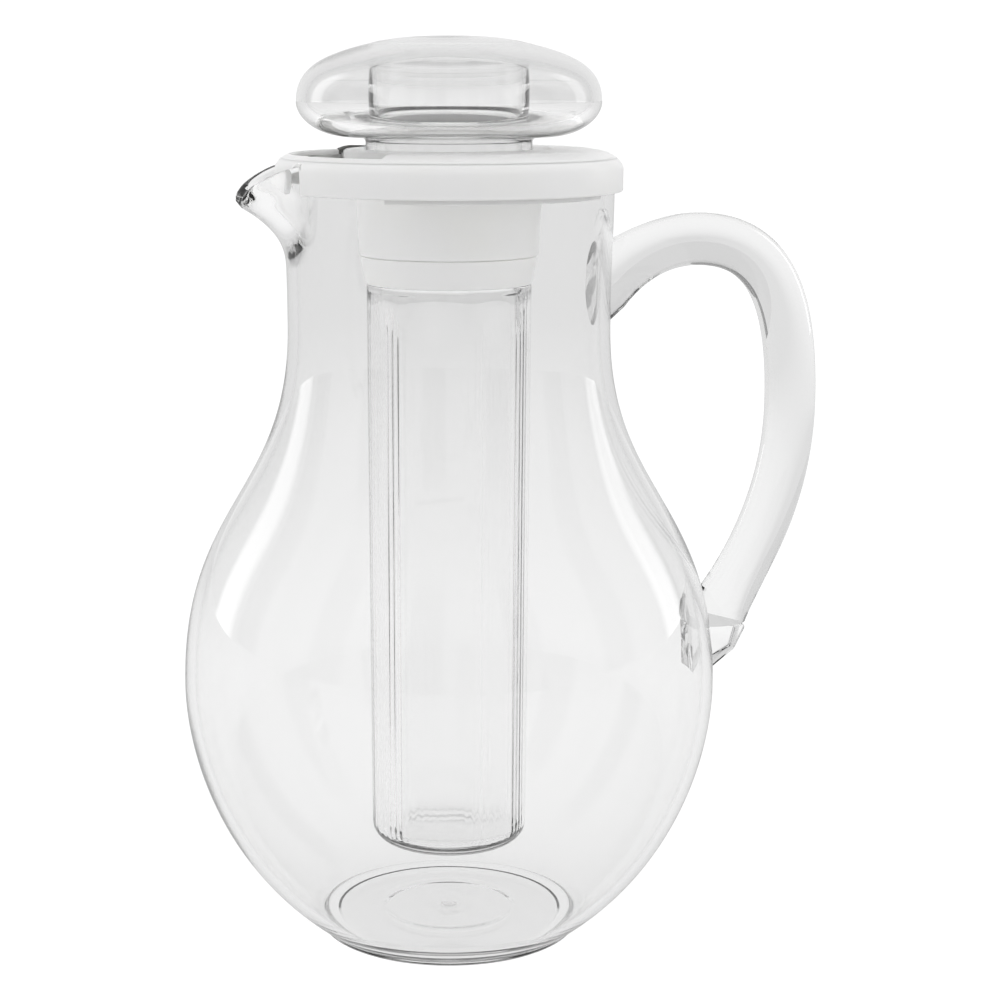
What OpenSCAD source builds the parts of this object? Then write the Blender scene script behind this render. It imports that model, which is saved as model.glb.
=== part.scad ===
// Pitcher with ice core: a clear one-piece jug with a bonded bar handle,
// a white lid that drops over the rim, a closed clear tube for ice that hangs
// from the lid, and a hollow clear knob that stands in the lid as a stopper.
// The origin is on the table, on the axis of the jug. The handle is on +X and
// the spout on -X.

/* [Jug] */
// Height of the jug from the table to its rim
jug_h = 235; // [215:1:255]
// Radius of the foot
foot_r = 39.8; // [36:0.2:44]
// Radius of the belly at its widest place
belly_r = 80.2; // [74:0.2:88]
// Height of the widest place of the belly
belly_z = 78; // [70:1:86]
// Radius of the neck at its narrowest place
waist_r = 47.8; // [46.4:0.2:48.2]
// Length of the neck, from its narrowest place to the rim
neck_len = 49.3; // [46:0.1:58]
// Outer radius of the rim
rim_r = 48.6; // [48.2:0.1:51]
// Thickness of the jug's wall
wall = 3; // [2.4:0.1:3.4]
// Thickness of the jug's floor
floor_t = 4.6; // [3.8:0.1:6]

/* [Spout] */
// How far the tip of the spout stands out from the rim
spout_out = 15.3; // [11:0.1:19]
// How far the tip lies below the rim
spout_drop = 12.5; // [9:0.5:15]
// Height of the spout's outer face, from where it leaves the neck to the tip
spout_h = 22.5; // [18:0.5:26]
// Angle from the middle of the spout to where it blends into the neck
spout_angle = 26; // [22:1:30]
// Thickness of the lip at the tip
lip_t = 2.4; // [1.8:0.1:3]

/* [Handle] */
// Thickness of the bar, seen from the side
bar_t = 15.8; // [13:0.2:18]
// Width of the bar, seen from behind
bar_w = 14; // [12:0.2:17]
// How far the bar swells at each end, on each side
bar_flare = 2.1; // [0:0.1:3]
// How far the bar's outermost place stands out past the belly
handle_reach = 27.4; // [24:0.2:34]
// How far the bar's highest place stands out from the neck
crest_out = 28.2; // [26:0.2:32]
// How far the bar's highest place lies below the rim, at its centre
crest_drop = 25; // [23:0.5:29]
// How far the bar's root lies below the rim, at its centre
root_drop = 37.5; // [36:0.5:41]
// How far the lower ledge lies above the widest place of the belly
ledge_rise = 13; // [9:0.5:16]
// Width of the ledge that carries the bar's lower end
ledge_w = 13; // [10:0.5:14]

/* [Lid] */
// Thickness of the lid's top plate
plate_t = 2.5; // [2:0.1:3.5]
// Thickness of the lid's skirt
skirt_t = 1.9; // [1.4:0.1:2.6]
// How far the skirt reaches below the jug's rim
skirt_drop = 9.7; // [7:0.1:11]
// How far the plug wall reaches down into the neck
plug_drop = 11.3; // [8:0.1:14]
// Thickness of the plug wall
plug_t = 1.8; // [1.4:0.1:2.4]
// Radius of the hub around the knob
hub_r = 30.5; // [29:0.1:33]
// Half of the angle that the pouring opening takes up
opening_angle = 55; // [40:1:70]
// Half of the angle of the notch where the skirt passes the spout
notch_angle = 21; // [20:1:27]
// How far the sleeve for the ice tube reaches below the lid's top
sleeve_len = 30.7; // [28:0.1:38]
// Thickness of the sleeve's wall at its lower edge
sleeve_t = 1.7; // [1.4:0.1:2.4]

/* [Ice tube] */
// Radius of the tube at its upper end
tube_r = 24.4; // [22.6:0.1:24.6]
// How much narrower the tube is at its lower end, in radius
tube_taper = 0.8; // [0:0.1:1.2]
// Length of the tube below its collar
tube_len = 171; // [150:1:185]
// Least thickness of the tube's wall at its upper end
tube_wall = 2.4; // [2.2:0.1:2.8]
// Thickness of the tube's floor
tube_floor_t = 3; // [2:0.1:5]
// Radius of the rounding at the tube's lower end
tube_round = 5; // [3:0.5:8]
// Number of lobes round the inside of the tube
lobe_count = 8; // [6:1:12]
// Depth of the lobes
lobe_depth = 1; // [0:0.1:1.2]
// Height of the white collar that holds the tube
collar_h = 8.1; // [6:0.1:12]

/* [Knob] */
// Radius of the knob
knob_r = 44.6; // [38:0.2:50]
// Height of the knob, from its underside to its top
knob_h = 29.4; // [24:0.2:34]
// Gap between the knob's underside and the lid
knob_gap = 3.1; // [1.5:0.1:6]
// Outer radius of the knob's neck
neck_r = 24.4; // [23.6:0.1:24.6]
// How far the neck stands in the lid
neck_depth = 24.5; // [21:0.5:25]
// Thickness of the knob's walls
knob_wall = 2.8; // [2:0.1:3.4]

/* [Hidden] */

clear_colour = [0.86, 0.9, 0.91, 0.45];
white_colour = [0.95, 0.95, 0.94];

$fn = 96;
// Overrun of every cut past the face that it opens
over = 1;
// Gap at a bonded joint
bond_gap = 0.05;
// Gap between pieces that move past each other
run_clear = 0.3;
// Gap between the lid's skirt and the rim
skirt_clear = 0.5;
// Gap between the lid's plug and the neck, at the rim
plug_clear = 0.9;

// Points of a cubic Bezier curve, without its first point
function curve(a, b, c, d, steps) =
    [for (i = [1:steps]) let (t = i / steps, s = 1 - t)
        s * s * s * a + 3 * s * s * t * b + 3 * s * t * t * c + t * t * t * d];

// Quarter turn about a centre, from one angle to another
function turn(centre, r, from, to, steps) =
    [for (i = [0:steps]) let (a = from + (to - from) * i / steps)
        centre + r * [cos(a), sin(a)]];

// The direction of an open outline at each of its points
function along(p, i) =
    let (d = p[min(i + 1, len(p) - 1)] - p[max(i - 1, 0)]) d / norm(d);

// An open outline moved to its left by a distance
function shifted(p, d) =
    [for (i = [0:len(p) - 1]) let (t = along(p, i)) p[i] + d * [-t[1], t[0]]];

function reversed(p) = [for (i = [len(p) - 1:-1:0]) p[i]];

// The jug's outer outline, from the foot up to the rim
foot_round = 1.3;
foot_angle = 36;
foot_steps = 4;
foot_pull_share = 0.549;
belly_low_share = 0.212;
belly_high_share = 0.508;
waist_low_share = 0.468;
rim_pull_share = 0.5;
waist_z = jug_h - neck_len;
low_h = belly_z - foot_round;
high_h = waist_z - belly_z;
foot_point = [foot_r, foot_round];
belly_point = [belly_r, belly_z];
waist_point = [waist_r, waist_z];
rim_point = [rim_r, jug_h];
jug_outline = concat(
    turn([foot_r - foot_round, foot_round], foot_round, -90, 0, foot_steps),
    curve(foot_point,
          foot_point + foot_pull_share * low_h * [cos(foot_angle), sin(foot_angle)],
          belly_point - [0, belly_low_share * low_h],
          belly_point, 14),
    curve(belly_point,
          belly_point + [0, belly_high_share * high_h],
          waist_point - [0, waist_low_share * high_h],
          waist_point, 16),
    curve(waist_point,
          waist_point + [0, rim_pull_share * neck_len],
          rim_point - [0, rim_pull_share * neck_len],
          rim_point, 4));
jug_inside = shifted(jug_outline, wall);
jug_inline = [for (p = jug_inside) if (p[1] > floor_t) p];
// Radius of the floor where the wall rises from it
floor_r = lookup(floor_t, [for (i = [foot_steps:len(jug_inside) - 1]) [jug_inside[i][1], jug_inside[i][0]]]);

// Radius of the jug's outside at a height
jug_table = [for (p = jug_outline) [p[1], p[0]]];
function jug_r(z) = lookup(z, jug_table);

// Underside of the floor: a foot ring, a step and a mark left by moulding
foot_ring_w = 3.2;
foot_recess = 0.9;
step_r = 20.3;
step_t = 0.7;
gate_r = 2.6;
gate_h = 0.5;

// The spout is a swelling of the neck that rises by a power of the height and
// falls off sideways by a power of a raised cosine
spout_rise_power = 1.6;
spout_side_power = 1.3;
spout_sink = 1;
spout_side_steps = 20;
spout_high_steps = 16;
tip_z = jug_h - spout_drop;
spout_z = tip_z - spout_h;
tip_r = rim_r + spout_out;
spout_floor_rise = 1.35 * wall;
dip_share = 0.77;
dip_x = dip_share * rim_r;

spout_flare_share = 0.15;
function swell(z, from) = let (t = max((z - from) / spout_h, 0))
    t < 1 ? pow(t, spout_rise_power)
          : 1 + spout_flare_share * (1 - exp((1 - t) * spout_rise_power / spout_flare_share));
function fall(a, wide) = pow(max((1 + cos(180 * a / wide)) / 2, 0), spout_side_power);

// A block whose far face swells: back radius, face radius, swelling, half
// angle and the heights between which it stands
module swelling(back, face, out, wide, low, high, from) {
    sides = spout_side_steps;
    levels = spout_high_steps;
    angles = [for (i = [0:sides]) wide * (2 * i / sides - 1)];
    heights = [for (j = [0:levels]) low + (high - low) * j / levels];
    far = [for (z = heights) for (a = angles)
        let (r = face + out * swell(z, from) * fall(a, wide))
            [-r * cos(a), -r * sin(a), z]];
    near = [for (z = heights) for (a = angles)
        [-back * cos(a), -back * sin(a), z]];
    row = sides + 1;
    count = row * (levels + 1);
    skin = [for (j = [0:levels - 1]) for (i = [0:sides - 1])
        let (k = j * row + i)
            each [[k, k + row, k + row + 1], [k, k + row + 1, k + 1],
                  [k + count, k + count + row + 1, k + count + row],
                  [k + count, k + count + 1, k + count + row + 1]]];
    ends = [for (i = [0:sides - 1]) let (k = levels * row + i)
        each [[i, i + 1, i + 1 + count], [i, i + 1 + count, i + count],
              [k, k + count, k + 1 + count], [k, k + 1 + count, k + 1]]];
    flanks = [for (j = [0:levels - 1]) let (k = j * row, m = j * row + sides)
        each [[k, k + count, k + count + row], [k, k + count + row, k + row],
              [m, m + row, m + row + count], [m, m + row + count, m + count]]];
    polyhedron(concat(far, near), concat(skin, ends, flanks), convexity = 4);
}

// What is cut away above the spout's sloping edge
module above_spout_edge() {
    run = tip_r - dip_x;
    start_share = 0.45;
    end_share = 0.35;
    far = tip_r + spout_out;
    edge = curve([-dip_x, jug_h],
                 [-dip_x - start_share * run, jug_h],
                 [-tip_r - bond_gap, tip_z + end_share * spout_drop],
                 [-tip_r - bond_gap, tip_z], 12);
    rotate([90, 0, 0])
        linear_extrude(height = 2 * tip_r, center = true)
            polygon(concat([[-dip_x, jug_h]], edge,
                           [[-far, tip_z], [-far, jug_h + 2 * over], [-dip_x, jug_h + 2 * over]]));
}

// Ledge on the belly that the bar's lower end is bonded to
ledge_z = belly_z + ledge_rise;
ledge_out = 13.6;
ledge_deep = 13.4;
ledge_nose_out_share = 0.72;
ledge_nose_deep_share = 0.58;
root_z = jug_h - root_drop;

module ledge() {
    belly_root = jug_r(ledge_z - ledge_deep) - wall / 2;
    ledge_root = jug_r(ledge_z) - wall / 2;
    ledge_end = jug_r(ledge_z) + ledge_out;
    rotate([90, 0, 0])
        linear_extrude(height = ledge_w, center = true)
            polygon([[ledge_root, ledge_z],
                     [belly_root, ledge_z - ledge_deep - wall],
                     [jug_r(ledge_z) + ledge_nose_out_share * ledge_out,
                      ledge_z - ledge_nose_deep_share * ledge_deep],
                     [ledge_end, ledge_z]]);
}

module jug_body() {
    color(clear_colour)
    difference() {
        union() {
            rotate_extrude()
                polygon(concat([[0, 0]], jug_outline, [[0, jug_h]]));
            swelling(rim_r - wall, jug_r(spout_z) - spout_sink,
                     tip_r - jug_r(spout_z) + spout_sink, spout_angle,
                     spout_z, jug_h + over, spout_z);
            ledge();
        }
        rotate_extrude()
            polygon(concat([[0, floor_t], [floor_r, floor_t]], jug_inline,
                           [[rim_r - wall, jug_h + over], [0, jug_h + over]]));
        swelling(rim_r - 3 * wall, jug_r(spout_z) - wall - spout_sink,
                 tip_r - lip_t - jug_r(spout_z) + wall + spout_sink,
                 spout_angle - atan(wall / rim_r),
                 spout_z + spout_floor_rise, jug_h + 3 * over, spout_z + spout_floor_rise);
        above_spout_edge();
        translate([0, 0, -over])
            cylinder(r = foot_r - foot_round - foot_ring_w, h = foot_recess + over);
        difference() {
            translate([0, 0, -over])
                cylinder(r = step_r, h = foot_recess + step_t + over);
            translate([0, 0, foot_recess + step_t - gate_h])
                cylinder(r = gate_r, h = gate_h + over);
        }
    }
}

// Centre line of the bar, from inside the neck to below the lower ledge
bar_sides = 24;
root_angle = 42;
foot_slope = 64;
root_pull_share = 0.43;
crest_in_share = 0.31;
crest_pull_share = 0.7;
outer_high_share = 0.69;
outer_low_share = 0.48;
foot_end_share = 0.2;
flare_share = 0.18;
outer_drop_share = 0.55;
bar_foot_out = 4.6;
tail_len = 14;
bar_root = [jug_r(root_z) - wall / 4, root_z];
bar_crest = [jug_r(root_z) + crest_out, jug_h - crest_drop];
bar_outer = [belly_r + handle_reach, ledge_z + outer_drop_share * (jug_h - root_drop / 2 - ledge_z)];
bar_foot = [jug_r(ledge_z) + bar_foot_out, ledge_z + bond_gap];
foot_way = [cos(foot_slope), sin(foot_slope)];
root_way = [cos(root_angle), sin(root_angle)];
bar_line = concat(
    [bar_root - tail_len * root_way, bar_root],
    curve(bar_root,
          bar_root + root_pull_share * (bar_crest[0] - bar_root[0]) * root_way,
          bar_crest - [crest_in_share * (bar_crest[0] - bar_root[0]), 0],
          bar_crest, 10),
    curve(bar_crest,
          bar_crest + [crest_pull_share * (bar_outer[0] - bar_crest[0]), 0],
          bar_outer + [0, outer_high_share * (bar_crest[1] - bar_outer[1])],
          bar_outer, 14),
    curve(bar_outer,
          bar_outer - [0, outer_low_share * norm(bar_outer - bar_foot)],
          bar_foot + foot_end_share * norm(bar_outer - bar_foot) * foot_way,
          bar_foot, 16),
    [bar_foot - tail_len * foot_way]);

module handle() {
    last = len(bar_line) - 1;
    rings = [for (i = [0:last])
        let (t = along(bar_line, i),
             n = [-t[1], t[0]],
             u = (i - 1) / (last - 2),
             near = max(1 - u / flare_share, 0),
             far = max(1 - (1 - u) / flare_share, 0),
             grow = bar_flare * min(near * near + far * far, 1),
             a = bar_t / 2 + grow,
             b = bar_w / 2 + grow / 2)
        [for (k = [0:bar_sides - 1])
            let (w = 360 * k / bar_sides,
                 p = bar_line[i] + a * cos(w) * n)
            [p[0], b * sin(w), p[1]]]];
    points = [for (ring = rings) each ring];
    skin = [for (i = [0:last - 1]) for (k = [0:bar_sides - 1])
        let (k2 = (k + 1) % bar_sides, m = i * bar_sides)
            each [[m + k, m + k2, m + bar_sides + k2], [m + k, m + bar_sides + k2, m + bar_sides + k]]];
    caps = [[for (k = [bar_sides - 1:-1:0]) k], [for (k = [0:bar_sides - 1]) last * bar_sides + k]];
    color(clear_colour)
    difference() {
        polyhedron(points, concat(skin, caps), convexity = 6);
        rotate_extrude()
            polygon(concat([[0, 0]], shifted(jug_outline, -bond_gap), [[0, jug_h]]));
        translate([0, -bar_w, 0])
            cube([bar_outer[0], 2 * bar_w, ledge_z + bond_gap]);
    }
}

// Sizes of the lid, taken from the rim and from what hangs in it
lid_top = jug_h + plate_t;
skirt_in = rim_r + skirt_clear;
lid_r = skirt_in + skirt_t;
plug_r = rim_r - wall - plug_clear;
edge_share = 0.97;
lid_edge = edge_share * plate_t;
skirt_round_share = 0.35;
sleeve_z = lid_top - sleeve_len;
seat_z = lid_top - neck_depth;
seat_t = 2;
seat_r = neck_r - knob_wall;
hub_drop = 4.9;
bore_r = neck_r + run_clear;
spigot_bore_r = bore_r;
sleeve_taper = 0.85;
sleeve_low_r = spigot_bore_r + sleeve_t;
opening_drop = 3.1;

module sector(half) {
    reach = 2 * lid_r;
    steps = 8;
    linear_extrude(height = lid_top)
        polygon(concat([[0, 0]], [for (i = [0:steps])
            let (a = 180 - half + 2 * half * i / steps) reach * [cos(a), sin(a)]]));
}

module lid() {
    skirt_z = jug_h - skirt_drop;
    plug_z = jug_h - plug_drop;
    skirt_round = skirt_round_share * skirt_t;
    color(white_colour)
    difference() {
        rotate_extrude()
            polygon(concat(
                [[bore_r, lid_top]],
                [[bore_r, seat_z], [seat_r, seat_z], [seat_r, seat_z - seat_t],
                 [spigot_bore_r, seat_z - seat_t], [spigot_bore_r, sleeve_z],
                 [sleeve_low_r, sleeve_z],
                 [sleeve_low_r + sleeve_taper, jug_h - plug_drop],
                 [sleeve_low_r + sleeve_taper, lid_top - hub_drop - plate_t],
                 [hub_r, lid_top - hub_drop], [hub_r, jug_h],
                 [plug_r - plug_t, jug_h], [plug_r - plug_t, plug_z],
                 [plug_r, plug_z], [plug_r, jug_h],
                 [skirt_in, jug_h], [skirt_in, skirt_z],
                 [lid_r - skirt_round, skirt_z], [lid_r, skirt_z + skirt_round]],
                turn([lid_r - lid_edge, lid_top - lid_edge], lid_edge, 0, 90, 6)));
        intersection() {
            sector(opening_angle);
            difference() {
                union() {
                    cylinder(r = (plug_r + skirt_in) / 2, h = lid_top + over);
                    translate([0, 0, lid_top - opening_drop])
                        cylinder(r = lid_r + over, h = opening_drop + over);
                }
                cylinder(r = hub_r, h = lid_top + 2 * over);
            }
        }
        intersection() {
            sector(notch_angle);
            difference() {
                cylinder(r = lid_r + over, h = lid_top + over);
                cylinder(r = hub_r, h = lid_top + 2 * over);
            }
        }
    }
}

// The collar and the tube
collar_top = sleeve_z - run_clear;
collar_z = collar_top - collar_h;
spigot_r = spigot_bore_r - run_clear;
spigot_h = seat_z - seat_t - sleeve_z;
tube_step = 1.6;
tube_neck_r = tube_r - tube_step;
tube_neck_h = collar_h + spigot_h - tube_step;
tube_bore_r = tube_r - tube_wall - lobe_depth / 2;
tube_z = collar_z - tube_len;
tube_low_r = tube_r - tube_taper;
mouth_r = tube_bore_r - lobe_depth / 2;
collar_lip = 0.2;

module tube_collar() {
    bore = tube_neck_r + bond_gap;
    low_r = tube_r + collar_lip;
    color(white_colour)
        rotate_extrude()
            polygon([[bore, collar_z], [low_r, collar_z],
                     [sleeve_low_r - collar_lip, collar_top], [spigot_r, collar_top],
                     [spigot_r, sleeve_z + spigot_h - run_clear],
                     [bore, sleeve_z + spigot_h - run_clear]]);
}

module ice_tube() {
    shoulder_z = collar_z - bond_gap;
    floor_z = tube_z + tube_floor_t;
    steps = 12 * lobe_count;
    color(clear_colour)
    difference() {
        rotate_extrude()
            polygon(concat(
                [[0, tube_z]],
                turn([tube_low_r - tube_round, tube_z + tube_round], tube_round, -90, 0, 6),
                [[tube_r, shoulder_z], [tube_neck_r, shoulder_z],
                 [tube_neck_r, shoulder_z + tube_neck_h], [0, shoulder_z + tube_neck_h]]));
        translate([0, 0, floor_z])
            linear_extrude(height = shoulder_z - tube_step - floor_z)
                polygon([for (i = [0:steps - 1])
                    let (a = 360 * i / steps, r = tube_bore_r + lobe_depth / 2 * cos(lobe_count * a)
                        - tube_taper)
                    r * [cos(a), sin(a)]]);
        translate([0, 0, shoulder_z - tube_step - over])
            cylinder(r = mouth_r - tube_taper, h = tube_neck_h + tube_step + 2 * over);
    }
}

// The knob: an underside with its neck, and a crown welded to it
knob_z = lid_top + knob_gap;
knob_top = knob_z + knob_h;
seam_share = 0.36;
seam_z = knob_z + seam_share * knob_h;
flat_r_share = 0.47;
crown_drop = 1.4;
crown_pull_x_share = 0.42;
crown_pull_z_share = 0.19;
crown_end_share = 0.55;
under_w = 4.8;
under_r = neck_r + under_w;
under_rise = 0.5;
under_pull_share = 0.47;
under_in_share = 0.58;
flat_r = flat_r_share * knob_r;
crown_point = [flat_r, knob_top - crown_drop];
seam_point = [knob_r, seam_z];
under_point = [under_r, knob_z + under_rise];
crown_outline = concat(
    [[0, knob_top], [flat_r / 2, knob_top - crown_drop / 4], crown_point],
    curve(crown_point,
          crown_point + [crown_pull_x_share * (knob_r - flat_r),
                         -crown_pull_z_share * (crown_point[1] - seam_z)],
          seam_point + [0, crown_end_share * (crown_point[1] - seam_z)],
          seam_point, 12));
under_outline = concat(
    [seam_point],
    curve(seam_point,
          seam_point - [0, under_pull_share * (seam_z - knob_z)],
          under_point + [under_in_share * (knob_r - under_r), 0],
          under_point, 10));
neck_foot_z = seat_z;
neck_in = neck_r - knob_wall;
rising_gap = 1.6;
rising_top = crown_point[1] - knob_wall - rising_gap;
rising_r = neck_r - knob_wall / 3;
hanging_gap = 0.8;
hanging_r = neck_in - hanging_gap;
hanging_t = 1.8;
hanging_h = 8;

module knob_base() {
    inner = [for (p = shifted(under_outline, -knob_wall)) if (p[1] < seam_z && p[0] > rising_r) p];
    color(clear_colour)
        rotate_extrude()
            polygon(concat(
                under_outline,
                [[neck_r, knob_z], [neck_r, neck_foot_z], [neck_in, neck_foot_z],
                 [neck_in, rising_top], [rising_r, rising_top],
                 [rising_r, knob_z + knob_wall]],
                reversed(inner),
                [[knob_r - knob_wall, seam_z]]));
}

module knob_crown() {
    inner = shifted(crown_outline, -knob_wall);
    roof = knob_top - knob_wall;
    color(clear_colour)
    union() {
        rotate_extrude()
            polygon(concat(
                crown_outline,
                [[knob_r - knob_wall, seam_z]],
                [for (i = [len(inner) - 2:-1:1]) if (inner[i][1] > seam_z) inner[i]],
                [[0, roof]]));
        translate([0, 0, roof - hanging_h])
            difference() {
                cylinder(r = hanging_r, h = hanging_h);
                translate([0, 0, -over])
                    cylinder(r = hanging_r - hanging_t, h = hanging_h + over);
            }
    }
}

jug_body();
handle();
lid();
tube_collar();
ice_tube();
knob_base();
knob_crown();
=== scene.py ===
"""Clear pitcher with an ice core: the looks of each piece, and a plain studio around it."""

import math

import bmesh
import bpy
import numpy as np
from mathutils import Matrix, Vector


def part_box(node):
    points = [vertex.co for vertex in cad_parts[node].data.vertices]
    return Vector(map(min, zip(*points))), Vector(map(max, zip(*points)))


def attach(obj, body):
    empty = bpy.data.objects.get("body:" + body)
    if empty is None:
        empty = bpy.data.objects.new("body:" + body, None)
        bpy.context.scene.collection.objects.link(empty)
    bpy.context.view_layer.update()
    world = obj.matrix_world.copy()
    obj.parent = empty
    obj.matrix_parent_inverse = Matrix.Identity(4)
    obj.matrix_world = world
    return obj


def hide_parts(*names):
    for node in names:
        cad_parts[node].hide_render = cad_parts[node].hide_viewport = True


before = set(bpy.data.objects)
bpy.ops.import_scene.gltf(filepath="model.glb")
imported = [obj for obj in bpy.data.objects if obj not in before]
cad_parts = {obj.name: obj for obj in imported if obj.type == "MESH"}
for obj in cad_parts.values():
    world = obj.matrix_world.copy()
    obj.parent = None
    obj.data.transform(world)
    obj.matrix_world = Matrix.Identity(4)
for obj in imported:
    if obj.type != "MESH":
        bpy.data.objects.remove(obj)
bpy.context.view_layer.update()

bl_info = {
    "name": "Pitcher with ice core",
    "version": (1, 0, 0),
    "blender": (4, 5, 0),
    "location": "3D View > Sidebar > Pitcher",
    "description": "Builds a clear jug with a bar handle, a white lid, an ice tube and a hollow knob",
    "category": "Add Mesh",
}

MM = 0.001

# Refractive index of both plastics, and the darker tones in the white plastic and the paper
PLASTIC_IOR = 1.49
WHITE_LOW = "#F4F4F2"
PAPER_LOW = "#FCFCFC"

# Fields that many nodes share. A mix of colours takes them at 6 and 7 and gives its result at
# 2, and a mix of numbers takes them at 2 and 3 and gives its result at 0
SMOOTH = {"interpolation_type": "SMOOTHSTEP"}
RGBA = {"data_type": "RGBA"}
MULTIPLY = {"operation": "MULTIPLY"}

JUG_LOW, JUG_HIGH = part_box("jug_body")
LID_LOW, LID_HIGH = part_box("lid")
TUBE_LOW, TUBE_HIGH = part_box("ice_tube")
COLLAR_LOW, COLLAR_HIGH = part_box("tube_collar")
BASE_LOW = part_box("knob_base")[0]
CROWN_LOW, CROWN_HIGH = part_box("knob_crown")


# Sizes and colours that a user would change

class JugSizes(bpy.types.PropertyGroup):
    """Sizes of the jug and its handle."""
    foot_radius: bpy.props.FloatProperty(
        name="Foot radius", description="Outer radius of the foot", default=39.8 * MM, unit="LENGTH")
    belly_radius: bpy.props.FloatProperty(
        name="Belly radius", description="Radius of the belly at its widest place",
        default=-JUG_LOW.x, unit="LENGTH")
    belly_height: bpy.props.FloatProperty(
        name="Belly height", description="Height of the widest place of the belly",
        default=78 * MM, unit="LENGTH")
    waist_radius: bpy.props.FloatProperty(
        name="Waist radius", description="Radius of the neck at its narrowest place",
        default=47.8 * MM, unit="LENGTH")
    neck_length: bpy.props.FloatProperty(
        name="Neck length", description="From the narrowest place of the neck to the rim",
        default=49.3 * MM, unit="LENGTH")
    rim_radius: bpy.props.FloatProperty(
        name="Rim radius", description="Outer radius of the rim", default=48.6 * MM, unit="LENGTH")
    wall: bpy.props.FloatProperty(
        name="Wall", description="Thickness of the jug's wall", default=3 * MM, unit="LENGTH")
    floor: bpy.props.FloatProperty(
        name="Floor", description="Thickness of the jug's floor", default=4.6 * MM, unit="LENGTH")
    spout_out: bpy.props.FloatProperty(
        name="Spout reach", description="How far the tip stands out from the rim",
        default=15.3 * MM, unit="LENGTH")
    spout_drop: bpy.props.FloatProperty(
        name="Spout drop", description="How far the tip lies below the rim",
        default=12.5 * MM, unit="LENGTH")
    spout_height: bpy.props.FloatProperty(
        name="Spout height", description="From where the spout leaves the neck to its tip",
        default=20.7 * MM, unit="LENGTH")
    ledge_rise: bpy.props.FloatProperty(
        name="Ledge rise", description="From the widest place of the belly up to the handle's ledge",
        default=13 * MM, unit="LENGTH")
    ledge_width: bpy.props.FloatProperty(
        name="Ledge width", description="Width of the ledge under the handle",
        default=13 * MM, unit="LENGTH")
    bar_thickness: bpy.props.FloatProperty(
        name="Handle thickness", description="Thickness of the bar, seen from the side",
        default=15.8 * MM, unit="LENGTH")
    bar_width: bpy.props.FloatProperty(
        name="Handle width", description="Width of the bar, seen from behind",
        default=14 * MM, unit="LENGTH")
    bar_flare: bpy.props.FloatProperty(
        name="Handle flare", description="How far the bar swells at each end",
        default=2.1 * MM, unit="LENGTH")


class CoreSizes(bpy.types.PropertyGroup):
    """Sizes of the lid, the ice tube and the knob."""
    hub_radius: bpy.props.FloatProperty(
        name="Hub radius", description="Radius of the lid's hub", default=30.5 * MM, unit="LENGTH")
    plug_radius: bpy.props.FloatProperty(
        name="Plug radius", description="Radius of the lid's plug wall",
        default=44.7 * MM, unit="LENGTH")
    opening: bpy.props.FloatProperty(
        name="Pouring opening", description="Half of the angle of the pouring opening",
        default=math.radians(55), subtype="ANGLE")
    lobes: bpy.props.IntProperty(
        name="Lobes", description="Number of lobes inside the ice tube", default=8, min=0)
    lobe_depth: bpy.props.FloatProperty(
        name="Lobe depth", description="Depth of the lobes", default=0.5 * MM, unit="LENGTH")
    flutes: bpy.props.IntProperty(
        name="Flutes", description="Number of fine flutes inside the ice tube", default=56, min=0)
    flute_depth: bpy.props.FloatProperty(
        name="Flute depth", description="Depth of the fine flutes", default=0.05 * MM, unit="LENGTH")
    knob_wall: bpy.props.FloatProperty(
        name="Knob wall", description="Thickness of the knob's walls", default=2.8 * MM, unit="LENGTH")


class FinishColours(bpy.types.PropertyGroup):
    """Colours of the plastics and the floor, as sRGB hex values."""
    jug: bpy.props.StringProperty(
        name="Jug", description="Tint of the jug's clear wall, face on", default="#F7F7F7")
    bar: bpy.props.StringProperty(
        name="Handle", description="Tint of the solid clear handle, face on", default="#F4F4F4")
    tube: bpy.props.StringProperty(
        name="Tube and knob", description="Tint of the thin clear walls, face on", default="#FDFDFD")
    # Painted shade: the clear plastics darken to this colour where they turn away from the eye
    edge: bpy.props.StringProperty(
        name="Clear edge", description="Tint of the clear plastic where it turns away",
        default="#C9CACB")
    white: bpy.props.StringProperty(
        name="White plastic", description="Colour of the lid and the collar", default="#FAFAF8")
    floor: bpy.props.StringProperty(
        name="Floor", description="Colour of the studio floor", default="#FFFFFF")


# Outlines

def bezier(a, b, c, d, steps):
    """Points of a cubic Bezier curve, without its first point."""
    t = np.linspace(0, 1, steps + 1)[1:, None]
    a, b, c, d = (np.array(p, float) for p in (a, b, c, d))
    s = 1 - t
    return s**3 * a + 3 * s * s * t * b + 3 * s * t * t * c + t**3 * d


def arc(centre, radius, start, end, steps):
    """Points of a circular arc, with both ends, angles in degrees."""
    turn = np.radians(np.linspace(start, end, steps + 1))[:, None]
    return np.array(centre, float) + radius * np.hstack([np.cos(turn), np.sin(turn)])


def shifted(line, distance):
    """An open outline moved to its left by a distance."""
    way = np.gradient(line, axis=0)
    way /= np.linalg.norm(way, axis=1)[:, None]
    return line + distance * np.stack([-way[:, 1], way[:, 0]], 1)


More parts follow.
